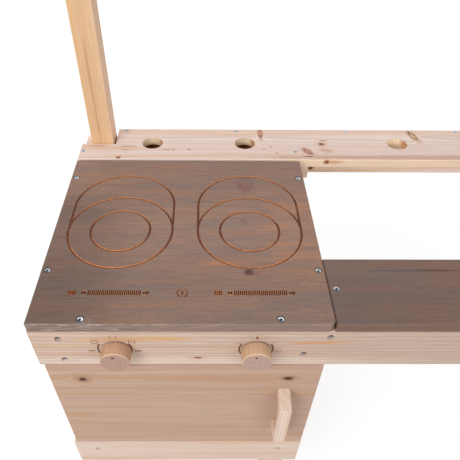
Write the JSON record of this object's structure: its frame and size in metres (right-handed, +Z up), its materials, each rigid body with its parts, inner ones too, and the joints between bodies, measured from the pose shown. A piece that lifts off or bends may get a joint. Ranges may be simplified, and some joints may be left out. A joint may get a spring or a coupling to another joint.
{
  "type": "mud kitchen",
  "caption": "Child's wooden mud kitchen: stained hob over an oven with door and turning knobs, worktop plank, open tub bay, rear board with cup holes, and an upper shelf on tall posts.",
  "frame": {"origin": "on the floor, under the middle of the overall outline", "axes": "+X to the right as the child faces it, +Y away from the child, +Z up"},
  "size_m": [1.006, 0.505, 0.945],
  "materials": {
    "planed_fir": "planed, bare",
    "honey_fir": "planed, bare",
    "stained_fir": "grey-brown stain",
    "turned_beech": "turned, bare",
    "zinc_screw": "zinc plated",
    "hinge_steel": "zinc plated",
    "felt": "matte",
    "catch_plastic": "matte"
  },
  "bodies": {
    "kitchen": {"back_apron": "planed_fir", "back_board_1": "planed_fir", "back_board_2": "planed_fir", "back_board_3": "planed_fir", "back_board_4": "planed_fir", "back_screws": "zinc_screw", "catch_magnet": "catch_plastic", "fitting_screws": "zinc_screw", "front_fascia": "planed_fir", "front_left_leg": "planed_fir", "front_middle_leg": "planed_fir", "front_right_leg": "planed_fir", "front_screws": "zinc_screw", "hinge_frame_leaves": "hinge_steel", "hinge_pins": "hinge_steel", "hob_board": "stained_fir", "knob_spacers": "felt", "knob_washers": "zinc_screw", "left_floor_bearer": "planed_fir", "left_side_board_1": "planed_fir", "left_side_board_2": "planed_fir", "left_side_board_3": "planed_fir", "left_side_board_4": "planed_fir", "left_side_board_5": "planed_fir", "middle_side_board_1": "planed_fir", "middle_side_board_2": "planed_fir", "middle_side_board_3": "planed_fir", "middle_side_board_4": "planed_fir", "middle_side_board_5": "planed_fir", "oven_floor_slat_1": "planed_fir", "oven_floor_slat_2": "planed_fir", "oven_floor_slat_3": "planed_fir", "oven_floor_slat_4": "planed_fir", "oven_floor_slat_5": "planed_fir", "oven_low_rail": "planed_fir", "plank_cleat": "planed_fir", "rear_board": "planed_fir", "rear_cleat": "planed_fir", "rear_left_post": "honey_fir", "rear_middle_leg": "planed_fir", "rear_right_post": "honey_fir", "right_floor_bearer": "planed_fir", "right_side_low_board": "planed_fir", "right_side_top_board": "planed_fir", "side_screws": "zinc_screw", "top_screws": "zinc_screw", "upper_rail": "planed_fir", "upper_shelf": "planed_fir", "worktop_plank": "stained_fir"},
    "door": {"oven_door": "planed_fir", "door_batten_left": "planed_fir", "door_batten_right": "planed_fir", "door_handle": "planed_fir", "door_screws": "zinc_screw", "catch_plate": "hinge_steel", "hinge_door_leaves": "hinge_steel"},
    "left_dial": {"left_knob": "turned_beech", "left_knob_bolt": "zinc_screw"},
    "right_dial": {"right_knob": "turned_beech", "right_knob_bolt": "zinc_screw"}
  },
  "joints": [
    {"name": "door_swing", "type": "hinge", "parent": "kitchen", "child": "door", "pos_m": [-0.5003, -0.2063, 0.302], "axis": [0, 0, -1], "range_deg": [0, 170]},
    {"name": "left_knob_turn", "type": "hinge", "parent": "kitchen", "child": "left_dial", "pos_m": [-0.3915, -0.2185, 0.464], "axis": [0, -1, 0], "continuous": true},
    {"name": "right_knob_turn", "type": "hinge", "parent": "kitchen", "child": "right_dial", "pos_m": [-0.2037, -0.2185, 0.464], "axis": [0, -1, 0], "continuous": true}
  ]
}
